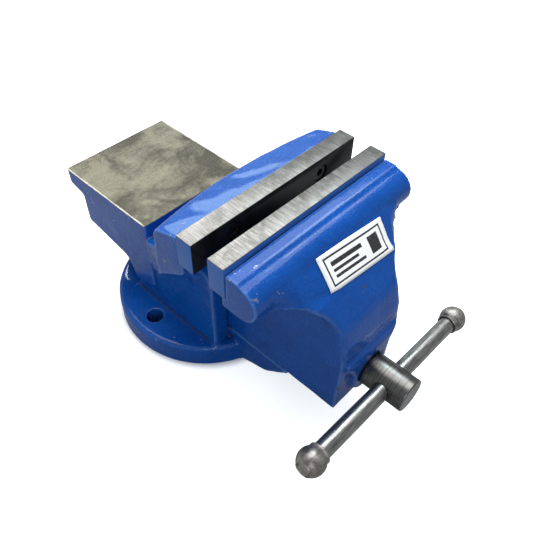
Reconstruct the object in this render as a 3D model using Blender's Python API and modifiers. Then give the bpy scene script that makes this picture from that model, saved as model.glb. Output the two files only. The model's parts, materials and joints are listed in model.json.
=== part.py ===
"""A fixed-base engineer's bench vise with 150 mm jaws.

Metres, +Z up, +X to the right seen from the handle, +Y away from the operator.
The origin is the centre of the round base flange, on its underside.
"""

import math

import bmesh
import bpy
from mathutils import Matrix

# Clearances
SEAT_GAP = 0.0003
SLIDE_GAP = 0.0004
TURNING_GAP = 0.0004

# Jaws
JAW_HALF = 0.0750
JAW_TOP = 0.1630
OPENING_AT_REST = 0.0135
PLATE_THICKNESS = 0.0130
PLATE_HEIGHT = 0.0240
REAR_FACE_Y = -0.0779
PLATE_STAND = 0.0030
SCREW_SPACING = 0.0800
SCREW_HEAD_DIAMETER = 0.0125
SCREW_DIAMETER = 0.0070
SCREW_LENGTH = 0.0240
SCREW_DRIVE_ACROSS = 0.0052
BULGE_RADIUS = 0.0134

# Fixed body
FLANGE_RADIUS = 0.0759
FLANGE_THICKNESS = 0.0195
FLANGE_ROUND = 0.0035
BOLT_CIRCLE_RADIUS = 0.0587
BOLT_HOLE_DIAMETER = 0.0135
COLUMN_HALF = 0.0456
COLUMN_FRONT_Y = -0.0575
COLUMN_BACK_Y = 0.0360
SADDLE_Z = 0.0915
ANVIL_HALF = 0.0486
ANVIL_FRONT_Y = 0.0088
ANVIL_LENGTH = 0.0974
ANVIL_TOP = 0.1036
ANVIL_LIP_THICKNESS = 0.0136
ANVIL_LIP_REACH = 0.0157
HEAD_BACK_BULGE = 0.0105
HEAD_DEPTH = 0.0227
HEAD_SLOPE = 0.31
TONGUE_REACH = 0.1188

# Slide and nose of the moving jaw
SLIDE_HALF = 0.0308
SLIDE_BOTTOM = 0.0298
SLIDE_WALL = 0.0088
SLIDE_ROOF = 0.0080
SLIDE_BACK_Y = 0.0820
NECK_BACK_Y = -0.0980
NOSE_FRONT_Y = -0.1630
NOSE_WALL = 0.0210
NOSE_LEAN = 0.0020
BOSS_REACH = 0.0035
BOSS_TOP = 0.0820
BOSS_RADIUS = 0.0175
SWEEP_RADIUS = 0.0220
APRON_EDGE_ROUND = 0.0040

# Spindle, nut and handle
SPINDLE_Z = 0.0545
SPINDLE_DIAMETER = 0.0200
SPINDLE_HEAD_LENGTH = 0.0330
SPINDLE_BACK_Y = 0.0780
THREAD_PITCH = 0.0050
NUT_LENGTH = 0.0300
NUT_FRONT_Y = -0.0520
NUT_WALL = 0.0062
NUT_ROOM = 0.0009
NUT_BOLT_DIAMETER = 0.0120
NUT_BOLT_ACROSS_FLATS = 0.0180
NUT_BOLT_HEAD = 0.0075
WASHER_THICKNESS = 0.0020
SPRING_LENGTH = 0.0200
SPRING_WIRE = 0.0020
PIN_DIAMETER = 0.0032
PIN_EYE_DIAMETER = 0.0048
PIN_STAND = 0.0045
BAR_DIAMETER = 0.0125
BAR_LENGTH = 0.1640
BAR_SHIFT = -0.0007
BAR_FROM_SHOULDER = 0.0165
BAR_TILT = math.radians(3.96)
KNOB_TO_BAR = 1.56
KNOB_LENGTH_TO_BAR = 1.36

# Label
LABEL_WIDTH = 0.0600
LABEL_HEIGHT = 0.0250
LABEL_THICKNESS = 0.0003
LABEL_X = 0.0060
LABEL_Z = 0.1400
LABEL_TILT = math.radians(3.4)

# Values that follow from the sizes above
FRONT_FACE_Y = REAR_FACE_Y - OPENING_AT_REST
REAR_SEAT_Y = REAR_FACE_Y + PLATE_THICKNESS + SEAT_GAP
FRONT_SEAT_Y = FRONT_FACE_Y - PLATE_THICKNESS - SEAT_GAP
PLATE_BOTTOM = JAW_TOP - PLATE_HEIGHT
SEAT_FLOOR = PLATE_BOTTOM - SEAT_GAP
SCREW_Z = JAW_TOP - PLATE_HEIGHT / 2
HEAD_UNDERSIDE = JAW_TOP - 0.0320
HEAD_BACK_Y = REAR_SEAT_Y + HEAD_DEPTH
SWEEP_X = SLIDE_HALF + SWEEP_RADIUS
SWEEP_Z = HEAD_UNDERSIDE - SWEEP_RADIUS
CHANNEL_FLOOR = SLIDE_BOTTOM - SLIDE_GAP
SHAFT_BORE = SPINDLE_DIAMETER / 2 + TURNING_GAP
SLIDE_TOP = SPINDLE_Z + SHAFT_BORE + NUT_WALL + NUT_ROOM + SLIDE_ROOF
SPINDLE_HEAD_DIAMETER = SPINDLE_DIAMETER * 1.25
KNOB_DIAMETER = BAR_DIAMETER * KNOB_TO_BAR
KNOB_LENGTH = BAR_DIAMETER * KNOB_LENGTH_TO_BAR
BOSS_FRONT_Y = NOSE_FRONT_Y - BOSS_REACH
SHOULDER_Y = BOSS_FRONT_Y - SEAT_GAP
WASHER_FRONT_Y = SHOULDER_Y + SEAT_GAP
WASHER_POCKET_Y = WASHER_FRONT_Y + WASHER_THICKNESS + SEAT_GAP
BAR_Y = SHOULDER_Y - BAR_FROM_SHOULDER
NOSE_WALL_BACK_Y = NOSE_FRONT_Y + NOSE_WALL
SPRING_FRONT_Y = NOSE_WALL_BACK_Y + SEAT_GAP
SPRING_BACK_Y = SPRING_FRONT_Y + SPRING_LENGTH
SPRING_WASHER_Y = SPRING_BACK_Y + SEAT_GAP
PIN_Y = SPRING_WASHER_Y + WASHER_THICKNESS + SEAT_GAP + PIN_EYE_DIAMETER / 2
NUT_CENTRE_Y = NUT_FRONT_Y + NUT_LENGTH / 2
ANVIL_BACK_Y = ANVIL_FRONT_Y + ANVIL_LENGTH
BLOCK_BACK_Y = ANVIL_BACK_Y - ANVIL_LIP_REACH

ROUND_STEPS = 40


def clear_scene():
    for thing in list(bpy.data.objects):
        bpy.data.objects.remove(thing, do_unlink=True)


def new_collection(name):
    collection = bpy.data.collections.new(name)
    bpy.context.scene.collection.children.link(collection)
    return collection


def material(name, colour, roughness, metallic):
    result = bpy.data.materials.new(name)
    result.use_nodes = True
    shader = result.node_tree.nodes["Principled BSDF"]
    shader.inputs["Base Color"].default_value = (*colour, 1.0)
    shader.inputs["Roughness"].default_value = roughness
    shader.inputs["Metallic"].default_value = metallic
    return result


def part(name, mesh, finish):
    """A visible piece of the vise, which becomes a node."""
    thing = bpy.data.objects.new(name, mesh)
    PARTS.objects.link(thing)
    mesh.materials.append(finish)
    return thing


def helper(name, mesh):
    """A cutter, or a volume that is joined to a piece."""
    thing = bpy.data.objects.new(name, mesh)
    CUTTERS.objects.link(thing)
    thing.hide_render = True
    thing.display_type = "WIRE"
    return thing


def to_mesh(name, bm):
    bmesh.ops.recalc_face_normals(bm, faces=bm.faces[:])
    mesh = bpy.data.meshes.new(name)
    bm.to_mesh(mesh)
    bm.free()
    return mesh


def combine(target, other, operation):
    modifier = target.modifiers.new(other.name, "BOOLEAN")
    modifier.operation = operation
    modifier.solver = "EXACT"
    modifier.object = other


def smooth(thing, degrees=35):
    thing.data.shade_smooth()
    thing.data.set_sharp_from_angle(angle=math.radians(degrees))


def arc(centre, radius, start, end, steps):
    """Points on a circle from one angle to another, in degrees."""
    points = []
    for index in range(steps + 1):
        angle = math.radians(start + (end - start) * index / steps)
        points.append((centre[0] + radius * math.cos(angle), centre[1] + radius * math.sin(angle)))
    return points


def rounded(corners, steps=5):
    """An outline from corners (a, b) or (a, b, radius), where a radius makes an arc."""
    outline = []
    for index, corner in enumerate(corners):
        radius = corner[2] if len(corner) > 2 else 0
        if not radius:
            outline.append(corner[:2])
            continue
        here = complex(*corner[:2])
        before = complex(*corners[index - 1][:2]) - here
        after = complex(*corners[(index + 1) % len(corners)][:2]) - here
        before /= abs(before)
        after /= abs(after)
        half = math.acos(max(-1, min(1, (before * after.conjugate()).real))) / 2
        centre = here + (before + after) / abs(before + after) * radius / math.sin(half)
        first = here + before * radius / math.tan(half) - centre
        last = here + after * radius / math.tan(half) - centre
        sweep = math.atan2((last / first).imag, (last / first).real)
        for step in range(steps + 1):
            turned_by = complex(math.cos(sweep * step / steps), math.sin(sweep * step / steps))
            point = centre + first * turned_by
            outline.append((point.real, point.imag))
    return outline


def prism(name, outline, along, start, end):
    """A flat outline extruded along X (from y, z), Y (from x, z) or Z (from x, y)."""
    place = {
        "X": lambda a, b: (start, a, b),
        "Y": lambda a, b: (a, start, b),
        "Z": lambda a, b: (a, b, start),
    }[along]
    step = {"X": (end - start, 0, 0), "Y": (0, end - start, 0), "Z": (0, 0, end - start)}[along]
    bm = bmesh.new()
    face = bm.faces.new([bm.verts.new(place(a, b)) for a, b in outline])
    grown = bmesh.ops.extrude_face_region(bm, geom=[face])
    moved = [item for item in grown["geom"] if isinstance(item, bmesh.types.BMVert)]
    bmesh.ops.translate(bm, vec=step, verts=moved)
    return to_mesh(name, bm)


def box(name, low, high):
    bm = bmesh.new()
    bmesh.ops.create_cube(bm, size=1)
    for vert in bm.verts:
        for axis in range(3):
            vert.co[axis] = low[axis] if vert.co[axis] < 0 else high[axis]
    return to_mesh(name, bm)


def rod(name, radius, length, steps=ROUND_STEPS):
    """A cylinder on the local Z axis, from 0 to its length."""
    bm = bmesh.new()
    bmesh.ops.create_cone(
        bm, cap_ends=True, segments=steps, radius1=radius, radius2=radius, depth=length
    )
    bmesh.ops.translate(bm, vec=(0, 0, length / 2), verts=bm.verts[:])
    return to_mesh(name, bm)


def profile_mesh(name, points):
    bm = bmesh.new()
    verts = [bm.verts.new((radius, 0, height)) for radius, height in points]
    for first, second in zip(verts, verts[1:]):
        bm.edges.new((first, second))
    mesh = bpy.data.meshes.new(name)
    bm.to_mesh(mesh)
    bm.free()
    return mesh


def turn(thing, steps=ROUND_STEPS):
    """Spins the object's profile round its local Z axis."""
    modifier = thing.modifiers.new("Turned", "SCREW")
    modifier.axis = "Z"
    modifier.steps = steps
    modifier.render_steps = steps
    modifier.use_merge_vertices = True
    modifier.merge_threshold = 0.00001


def loft(name, sections):
    """A closed body through closed sections that all have the same number of points."""
    bm = bmesh.new()
    rings = [[bm.verts.new(point) for point in section] for section in sections]
    count = len(rings[0])
    for ring, following in zip(rings, rings[1:]):
        for index in range(count):
            second = (index + 1) % count
            bm.faces.new((ring[index], ring[second], following[second], following[index]))
    bm.faces.new(rings[0])
    bm.faces.new(rings[-1])
    return to_mesh(name, bm)


def blend(value, start, end):
    """0 before start, 1 after end, and a smooth curve between."""
    share = max(0.0, min(1.0, (value - start) / (end - start)))
    return share * share * (3 - 2 * share)


def along_path(path, value):
    """Straight-line value between the (position, value) pairs of a path."""
    for (first, low), (second, high) in zip(path, path[1:]):
        if value <= second:
            return low + (high - low) * (value - first) / (second - first)
    return path[-1][1]


# Fixed body


def flank_section(y):
    """The body's cross-section: column sides that flare out under the jaw's wings."""
    half = along_path(
        [(REAR_FACE_Y, JAW_HALF), (HEAD_BACK_Y, JAW_HALF), (ANVIL_FRONT_Y, ANVIL_HALF),
         (COLUMN_BACK_Y + 0.0010, ANVIL_HALF)], y)
    underside = along_path(
        [(REAR_FACE_Y, HEAD_UNDERSIDE), (REAR_SEAT_Y - 0.0040, HEAD_UNDERSIDE), (-0.0450, 0.1150),
         (-0.0110, 0.0800), (0.0280, 0.0500), (COLUMN_BACK_Y + 0.0010, 0.0500)], y)
    reach = half - COLUMN_HALF
    drop = min(1.5 * reach, underside - FLANGE_THICKNESS)
    side = [(COLUMN_HALF, FLANGE_THICKNESS / 2)]
    for step in range(7):
        angle = math.radians(90 * step / 6)
        side.append(
            (half - reach * math.cos(angle), underside - drop + drop * math.sin(angle)))
    side.append((half, JAW_TOP))
    outline = side + [(-x, z) for x, z in reversed(side)]
    return [(x, y, z) for x, z in outline]


def body_side_outline():
    """Side view of the column, the sloped saddle and the wings' lower half."""
    return rounded([
        (COLUMN_FRONT_Y, FLANGE_THICKNESS / 2),
        (COLUMN_FRONT_Y, HEAD_UNDERSIDE - 0.0100, 0.0080),
        (REAR_SEAT_Y - 0.0030, HEAD_UNDERSIDE),
        (REAR_SEAT_Y - 0.0030, SEAT_FLOOR),
        (HEAD_BACK_Y, SEAT_FLOOR),
        (HEAD_BACK_Y + 0.0110, JAW_TOP - 0.0370, 0.0120),
        (ANVIL_FRONT_Y - 0.0040, SADDLE_Z, 0.0080),
        (COLUMN_BACK_Y, SADDLE_Z),
        (COLUMN_BACK_Y, FLANGE_THICKNESS / 2),
    ], 7)


def rear_head_section(x):
    """Side section of the rear jaw head, whose back bows outwards in the middle."""
    back_y = HEAD_BACK_Y + HEAD_BACK_BULGE * (1 - (x / JAW_HALF) ** 2)
    seat_top = JAW_TOP - 0.0026
    edge_z = seat_top - HEAD_SLOPE * (back_y - 0.0053 - REAR_SEAT_Y)
    section = [
        (REAR_SEAT_Y - 0.0030, HEAD_UNDERSIDE), (REAR_SEAT_Y - 0.0030, SEAT_FLOOR), (REAR_SEAT_Y, SEAT_FLOOR),
        (REAR_SEAT_Y, seat_top), (back_y - 0.0053, edge_z), (back_y - 0.0018, edge_z - 0.0022),
        (back_y, edge_z - 0.0060), (back_y, SEAT_FLOOR - 0.0060), (HEAD_BACK_Y - 0.0040, HEAD_UNDERSIDE),
    ]
    return [(x, y, z) for y, z in section]


def rear_head():
    positions = [JAW_HALF * step / 8 for step in range(-8, 9)]
    return helper("rear_head", loft("rear_head", [rear_head_section(x) for x in positions]))


def anvil_block():
    side = rounded([
        (ANVIL_FRONT_Y, SADDLE_Z - 0.0200),
        (ANVIL_FRONT_Y, ANVIL_TOP),
        (ANVIL_BACK_Y, ANVIL_TOP),
        (ANVIL_BACK_Y, ANVIL_TOP - ANVIL_LIP_THICKNESS, 0.0030),
        (BLOCK_BACK_Y, ANVIL_TOP - ANVIL_LIP_THICKNESS - 0.0040, 0.0030),
        (BLOCK_BACK_Y, 0.0590, 0.0020),
        (COLUMN_BACK_Y + 0.0044, 0.0504, 0.0100),
        (COLUMN_BACK_Y - 0.0020, 0.0300),
        (ANVIL_FRONT_Y, 0.0400),
    ])
    return helper("anvil_block", prism("anvil_block", side, "X", -ANVIL_HALF, ANVIL_HALF))


def tongue():
    side = rounded([
        (COLUMN_FRONT_Y + 0.0100, 0.0),
        (-0.0687, 0.0),
        (-0.0966, 0.0090, 0.0200),
        (-TONGUE_REACH, CHANNEL_FLOOR - 0.0010),
        (-TONGUE_REACH, CHANNEL_FLOOR),
        (COLUMN_FRONT_Y + 0.0100, CHANNEL_FLOOR),
    ])
    return helper("tongue", prism("tongue", side, "X", -SLIDE_HALF, SLIDE_HALF))


def flange_profile():
    top = arc(
        (FLANGE_RADIUS - FLANGE_ROUND, FLANGE_THICKNESS - FLANGE_ROUND), FLANGE_ROUND, 90, 0, 4)
    return [(0, FLANGE_THICKNESS)] + top + [(FLANGE_RADIUS, 0), (0, 0)]


def fixed_body(finish):
    body = part("fixed_body", profile_mesh("fixed_body", flange_profile()), finish)
    turn(body, 72)
    stations = [REAR_FACE_Y, REAR_SEAT_Y - 0.0040, REAR_SEAT_Y + 0.0050, -0.0450, HEAD_BACK_Y, -0.0260, -0.0110,
                ANVIL_FRONT_Y, 0.0280, COLUMN_BACK_Y + 0.0010]
    flank = helper("body_flank", loft("body_flank", [flank_section(y) for y in stations]))
    side = helper(
        "body_side", prism("body_side", body_side_outline(), "X", -JAW_HALF - 0.001, JAW_HALF + 0.001))
    combine(flank, side, "INTERSECT")
    for volume in (flank, rear_head(), anvil_block(), tongue()):
        combine(body, volume, "UNION")
    channel = helper("slide_channel", box(
        "slide_channel",
        (-SLIDE_HALF - SLIDE_GAP, COLUMN_FRONT_Y - 0.0200, CHANNEL_FLOOR),
        (SLIDE_HALF + SLIDE_GAP, ANVIL_BACK_Y + 0.0100, SLIDE_TOP + SLIDE_GAP)))
    combine(body, channel, "DIFFERENCE")
    for index, angle in enumerate((0, 90, 180)):
        bolt_hole = helper(f"bolt_hole_{index}", rod("bolt_hole", BOLT_HOLE_DIAMETER / 2, FLANGE_THICKNESS * 2, 28))
        bolt_hole.location = (
            BOLT_CIRCLE_RADIUS * math.cos(math.radians(angle)),
            BOLT_CIRCLE_RADIUS * math.sin(math.radians(angle)),
            -FLANGE_THICKNESS / 2,
        )
        combine(body, bolt_hole, "DIFFERENCE")
    recess = helper("nut_bolt_recess", rod("nut_bolt_recess", washer_radius() + 0.0010, nut_bolt_seat() + 0.001))
    recess.location = (0, NUT_CENTRE_Y, -0.001)
    combine(body, recess, "DIFFERENCE")
    through = helper("nut_bolt_hole", rod("nut_bolt_hole", NUT_BOLT_DIAMETER / 2 + SEAT_GAP, CHANNEL_FLOOR))
    through.location = (0, NUT_CENTRE_Y, nut_bolt_seat() / 2)
    combine(body, through, "DIFFERENCE")
    for side_sign in (-1, 1):
        combine(body, screw_pocket("rear", side_sign, REAR_FACE_Y, 1), "DIFFERENCE")
    smooth(body)
    return body


# Jaw plates and their screws


def screw_pocket(jaw, side_sign, face_y, inward):
    """The countersunk hole for one plate screw, cut through the plate and into the casting."""
    name = f"{jaw}_screw_pocket_{side_sign}"
    pocket = helper(name, profile_mesh(name, screw_profile(SEAT_GAP)))
    turn(pocket, 24)
    place_screw(pocket, side_sign, face_y, inward)
    return pocket


def screw_profile(growth):
    """Half profile of a countersunk screw, its head's face at height 0 and its shank below."""
    head = SCREW_HEAD_DIAMETER / 2 + growth
    shank = SCREW_DIAMETER / 2 + growth
    top = 0.0020 if growth else 0
    return [(0, top), (head, top), (head, -0.0010), (shank, -0.0010 - (head - shank)),
            (shank, -SCREW_LENGTH - growth), (0, -SCREW_LENGTH - growth)]


def place_screw(thing, side_sign, face_y, inward):
    thing.location = (side_sign * SCREW_SPACING / 2, face_y + inward * 0.0010, SCREW_Z)
    thing.rotation_euler = (math.radians(90 * inward), 0, 0)


def jaw_plate(name, jaw, face_y, inward, finish):
    back_y = face_y + inward * PLATE_THICKNESS
    mesh = box(name, (-JAW_HALF, min(face_y, back_y), PLATE_BOTTOM), (JAW_HALF, max(face_y, back_y), JAW_TOP))
    plate = part(name, mesh, finish)
    edge = plate.modifiers.new("Edges", "BEVEL")
    edge.width = 0.0003
    edge.segments = 1
    for side_sign in (-1, 1):
        combine(plate, screw_pocket(f"{jaw}_plate", side_sign, face_y, inward), "DIFFERENCE")
    return plate


def plate_screw(name, side_sign, face_y, inward, finish):
    screw = part(name, profile_mesh(name, screw_profile(0)), finish)
    turn(screw, 24)
    drive = helper(f"{name}_drive", rod(f"{name}_drive", SCREW_DRIVE_ACROSS / math.sqrt(3), 0.0040, 6))
    place_screw(screw, side_sign, face_y, inward)
    place_screw(drive, side_sign, face_y + inward * 0.0030, inward)
    combine(screw, drive, "DIFFERENCE")
    smooth(screw)
    return screw


# Moving jaw


def apron_front(z):
    """How far forward the apron's middle stands at a height."""
    return along_path(
        [(0.0700, -0.1630), (0.0860, -0.1632), (0.0930, -0.1628), (0.1000, -0.1622), (0.1060, -0.1604),
         (0.1130, -0.1570), (0.1195, -0.1528), (0.1260, -0.1480), (0.1320, -0.1432), (0.1380, -0.1381),
         (0.1440, -0.1328), (0.1500, -0.1272), (0.1545, -0.1215), (0.1574, -0.1150)], z)


def wing_front(z):
    """How far forward the wings' round front stands at a height."""
    centre_y, centre_z = bulge_centre()
    rise = max(-1.0, min(1.0, (z - centre_z) / BULGE_RADIUS))
    return centre_y - BULGE_RADIUS * math.sqrt(1 - rise * rise)


def bulge_centre():
    return FRONT_SEAT_Y - 0.0109, JAW_TOP - 0.0190


def apron_edge_distance(x, z):
    """How far inside the shield's outline a point lies, up to the edge's rounding."""
    if z < SWEEP_Z:
        return SLIDE_HALF - abs(x)
    if abs(x) > SWEEP_X:
        return z - HEAD_UNDERSIDE
    return math.hypot(SWEEP_X - abs(x), z - SWEEP_Z) - SWEEP_RADIUS


def apron_surface(x, z):
    """The shield's front: the middle blends into the round wings, and its lower edges are rounded."""
    to_wing = blend(abs(x), 0.0380, 0.0600)
    short = APRON_EDGE_ROUND - min(APRON_EDGE_ROUND, max(0.0, apron_edge_distance(x, z)))
    rounding = APRON_EDGE_ROUND - math.sqrt(APRON_EDGE_ROUND ** 2 - short ** 2)
    return apron_front(z) * (1 - to_wing) + wing_front(z) * to_wing + rounding


def apron_row(z, half):
    """One level section of the shield, from its back to its front."""
    shares = [0, 0.3, 0.62, 0.86, 1.0]
    near_edge = [half - APRON_EDGE_ROUND * (1 - math.cos(math.radians(90 * step / 4))) for step in range(4)]
    inside = half - APRON_EDGE_ROUND
    columns = near_edge + [inside * share for share in reversed(shares)]
    xs = columns + [-x for x in reversed(columns[:-1])]
    back_y = FRONT_SEAT_Y - 0.0010
    return [(half, back_y, z)] + [(x, apron_surface(x, z), z) for x in xs] + [(-half, back_y, z)]


def apron():
    """The curved front shield, narrowed below the wings by two concave arcs."""
    rows = [(BOSS_TOP - 0.0100, SLIDE_HALF), (BOSS_TOP + 0.0060, SLIDE_HALF), (0.0960, SLIDE_HALF)]
    for step in range(9):
        angle = math.radians(90 * step / 8)
        rows.append((SWEEP_Z + SWEEP_RADIUS * math.sin(angle), SWEEP_X - SWEEP_RADIUS * math.cos(angle)))
    top = JAW_TOP - 0.0056
    wing_end = JAW_HALF - 0.0005
    for step in range(1, 8):
        rows.append((HEAD_UNDERSIDE + (top - HEAD_UNDERSIDE) * step / 7, wing_end))
    return helper("apron", loft("apron", [apron_row(z, half) for z, half in rows]))


def front_head():
    """The wings: a half-round bar with the plate seat on its back."""
    centre = bulge_centre()
    under = centre[1] - BULGE_RADIUS
    facet_y = centre[0] + 0.0010
    side = [
        (FRONT_SEAT_Y + 0.0036, under), (FRONT_SEAT_Y + 0.0036, SEAT_FLOOR),
        (FRONT_SEAT_Y, SEAT_FLOOR), (FRONT_SEAT_Y, JAW_TOP - 0.0037), (facet_y, JAW_TOP - 0.0040),
    ] + arc(centre, BULGE_RADIUS, 88, 270, 18)
    return helper("front_head", prism("front_head", side, "X", -JAW_HALF, JAW_HALF))


def slide_and_neck():
    side = rounded([
        (NOSE_FRONT_Y + NOSE_LEAN, SLIDE_BOTTOM),
        (SLIDE_BACK_Y, SLIDE_BOTTOM),
        (SLIDE_BACK_Y, SLIDE_TOP),
        (NECK_BACK_Y, SLIDE_TOP, 0.0120),
        (NECK_BACK_Y, HEAD_UNDERSIDE + 0.0040),
        (FRONT_SEAT_Y - 0.0060, HEAD_UNDERSIDE + 0.0040),
        (NOSE_FRONT_Y + 0.0060, BOSS_TOP + 0.0250),
        (NOSE_FRONT_Y, BOSS_TOP),
    ])
    return helper("slide_and_neck", prism("slide_and_neck", side, "X", -SLIDE_HALF, SLIDE_HALF))


def boss_ring(y, half, top, radius):
    """An outline that is straight on top and narrows to a half circle under the spindle."""
    lean = math.degrees(math.atan2(half - radius, top - SPINDLE_Z))
    right = [(half * 0.5, top), (half, top), (half, top - 0.0050)]
    right += arc((0, SPINDLE_Z), radius, lean, -90, 12)
    return [(x, y, z) for x, z in right + [(-x, z) for x, z in reversed(right[:-1])]]


def boss():
    """The raised lip round the spindle."""
    half = SLIDE_HALF - 0.0018
    return helper("boss", loft("boss", [
        boss_ring(NOSE_FRONT_Y + 0.0100, half, BOSS_TOP, BOSS_RADIUS + 0.0020),
        boss_ring(NOSE_FRONT_Y + 0.0010, half, BOSS_TOP, BOSS_RADIUS + 0.0020),
        boss_ring(NOSE_FRONT_Y - BOSS_REACH * 0.55, half - 0.0020, BOSS_TOP - 0.0020, BOSS_RADIUS + 0.0010),
        boss_ring(BOSS_FRONT_Y, BOSS_RADIUS + 0.0020, BOSS_TOP - 0.0070, BOSS_RADIUS),
    ]))


def slide_hollow():
    """The inside of the channel slide, open below and at the back."""
    inner = SLIDE_HALF - SLIDE_WALL
    roof = SLIDE_TOP - SLIDE_ROOF
    outline = rounded([
        (-inner, SLIDE_BOTTOM - 0.0100), (inner, SLIDE_BOTTOM - 0.0100),
        (inner, roof, 0.0040), (-inner, roof, 0.0040),
    ])
    return helper("slide_hollow", prism("slide_hollow", outline, "Y", NOSE_WALL_BACK_Y, SLIDE_BACK_Y + 0.0100))


def moving_jaw(finish):
    head = front_head()
    jaw = part("moving_jaw", head.data.copy(), finish)
    CUTTERS.objects.unlink(head)
    bpy.data.objects.remove(head)
    for volume in (apron(), slide_and_neck(), boss()):
        combine(jaw, volume, "UNION")
    combine(jaw, slide_hollow(), "DIFFERENCE")
    bore = helper("spindle_bore", rod("spindle_bore", SHAFT_BORE, NOSE_WALL + BOSS_REACH + 0.0200))
    bore.location = (0, NOSE_WALL_BACK_Y + 0.0100, SPINDLE_Z)
    bore.rotation_euler = (math.radians(90), 0, 0)
    combine(jaw, bore, "DIFFERENCE")
    pocket = helper("washer_pocket", rod("washer_pocket", SPINDLE_HEAD_DIAMETER / 2 + SEAT_GAP, 0.0200))
    pocket.location = (0, WASHER_POCKET_Y, SPINDLE_Z)
    pocket.rotation_euler = (math.radians(90), 0, 0)
    combine(jaw, pocket, "DIFFERENCE")
    for side_sign in (-1, 1):
        combine(jaw, screw_pocket("front", side_sign, FRONT_FACE_Y, -1), "DIFFERENCE")
    smooth(jaw)
    return jaw


def label(jaw, finish):
    """A thin sticker that follows the apron."""
    bm = bmesh.new()
    bmesh.ops.create_grid(bm, x_segments=26, y_segments=12, size=0.5)
    bmesh.ops.scale(bm, vec=(LABEL_WIDTH, LABEL_HEIGHT * 0.72, 1), verts=bm.verts[:])
    bmesh.ops.rotate(bm, cent=(0, 0, 0), matrix=Matrix.Rotation(-LABEL_TILT, 3, "Z"), verts=bm.verts[:])
    bmesh.ops.rotate(bm, cent=(0, 0, 0), matrix=Matrix.Rotation(math.radians(90), 3, "X"), verts=bm.verts[:])
    bmesh.ops.translate(bm, vec=(LABEL_X, 2 * NOSE_FRONT_Y, LABEL_Z), verts=bm.verts[:])
    mesh = bpy.data.meshes.new("label")
    bm.to_mesh(mesh)
    bm.free()
    sticker = part("label", mesh, finish)
    wrap = sticker.modifiers.new("On the apron", "SHRINKWRAP")
    wrap.target = jaw
    wrap.wrap_method = "PROJECT"
    wrap.use_project_y = True
    wrap.use_negative_direction = False
    wrap.use_positive_direction = True
    wrap.offset = SEAT_GAP + LABEL_THICKNESS * 1.5
    wrap.wrap_mode = "OUTSIDE_SURFACE"
    thickness = sticker.modifiers.new("Thickness", "SOLIDIFY")
    thickness.thickness = LABEL_THICKNESS
    thickness.offset = 0
    return sticker


# Spindle and handle


def washer_radius():
    return NUT_BOLT_DIAMETER


def nut_bolt_seat():
    """Height of the recess roof that the nut bolt's washer bears on."""
    return NUT_BOLT_HEAD + WASHER_THICKNESS + 0.0030


def on_spindle(thing, y):
    """Puts a turned piece on the spindle's axis, its local +Z towards the operator."""
    thing.location = (0, y, SPINDLE_Z)
    thing.rotation_euler = (math.radians(90), 0, 0)


def spindle(finish):
    head = SPINDLE_HEAD_DIAMETER / 2
    shaft = SPINDLE_DIAMETER / 2
    length = SPINDLE_BACK_Y - SHOULDER_Y
    points = [
        (0, SPINDLE_HEAD_LENGTH), (head - 0.0010, SPINDLE_HEAD_LENGTH), (head, SPINDLE_HEAD_LENGTH - 0.0010),
        (head, 0), (shaft, 0), (shaft, -length + 0.0020), (shaft - 0.0020, -length), (0, -length),
    ]
    screw = part("spindle", profile_mesh("spindle", points), finish)
    turn(screw)
    on_spindle(screw, SHOULDER_Y)
    cross_hole = helper("bar_hole", rod("bar_hole", BAR_DIAMETER / 2 + SEAT_GAP, 0.0600, 32))
    cross_hole.matrix_world = bar_frame() @ Matrix.Translation((0, 0, -0.0300))
    combine(screw, cross_hole, "DIFFERENCE")
    pin_hole = helper("pin_hole", rod("pin_hole", PIN_DIAMETER / 2 + SEAT_GAP, 0.0400, 16))
    pin_hole.location = (0, PIN_Y, SPINDLE_Z - 0.0200)
    combine(screw, pin_hole, "DIFFERENCE")
    smooth(screw)
    return screw


def bar_frame():
    """The bar's place: its local Z runs along the bar towards the right-hand knob."""
    lean = Matrix.Rotation(math.radians(90) + BAR_TILT, 4, "Y")
    return Matrix.Translation((0, BAR_Y, SPINDLE_Z)) @ lean


def washer(name, inner, outer, thickness, finish):
    """A flat ring on the local Z axis, from 0 up to its thickness."""
    points = [(outer, thickness), (outer, 0), (inner, 0), (inner, thickness), (outer, thickness)]
    bm = bmesh.new()
    verts = [bm.verts.new((radius, 0, height)) for radius, height in points[:-1]]
    for index in range(4):
        bm.edges.new((verts[index], verts[(index + 1) % 4]))
    mesh = bpy.data.meshes.new(name)
    bm.to_mesh(mesh)
    bm.free()
    ring = part(name, mesh, finish)
    turn(ring)
    smooth(ring)
    return ring


def spring(finish):
    """A compression spring with its ends closed up, as a swept wire."""
    turns = 5.5
    radius = SPINDLE_DIAMETER / 2 + 0.0006 + SPRING_WIRE / 2
    per_turn = 14
    steps = int(turns * per_turn)
    free = SPRING_LENGTH - SPRING_WIRE
    curve = bpy.data.curves.new("spindle_spring", "CURVE")
    curve.dimensions = "3D"
    line = curve.splines.new("POLY")
    line.points.add(steps)
    for index, point in enumerate(line.points):
        angle = 2 * math.pi * index / per_turn
        y = SPRING_FRONT_Y + SPRING_WIRE / 2 + free * index / steps
        point.co = (radius * math.cos(angle), y, SPINDLE_Z + radius * math.sin(angle), 1)
    curve.bevel_depth = SPRING_WIRE / 2
    curve.bevel_resolution = 2
    curve.use_fill_caps = True
    coil = bpy.data.objects.new("spindle_spring", curve)
    PARTS.objects.link(coil)
    curve.materials.append(finish)
    return coil


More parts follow.
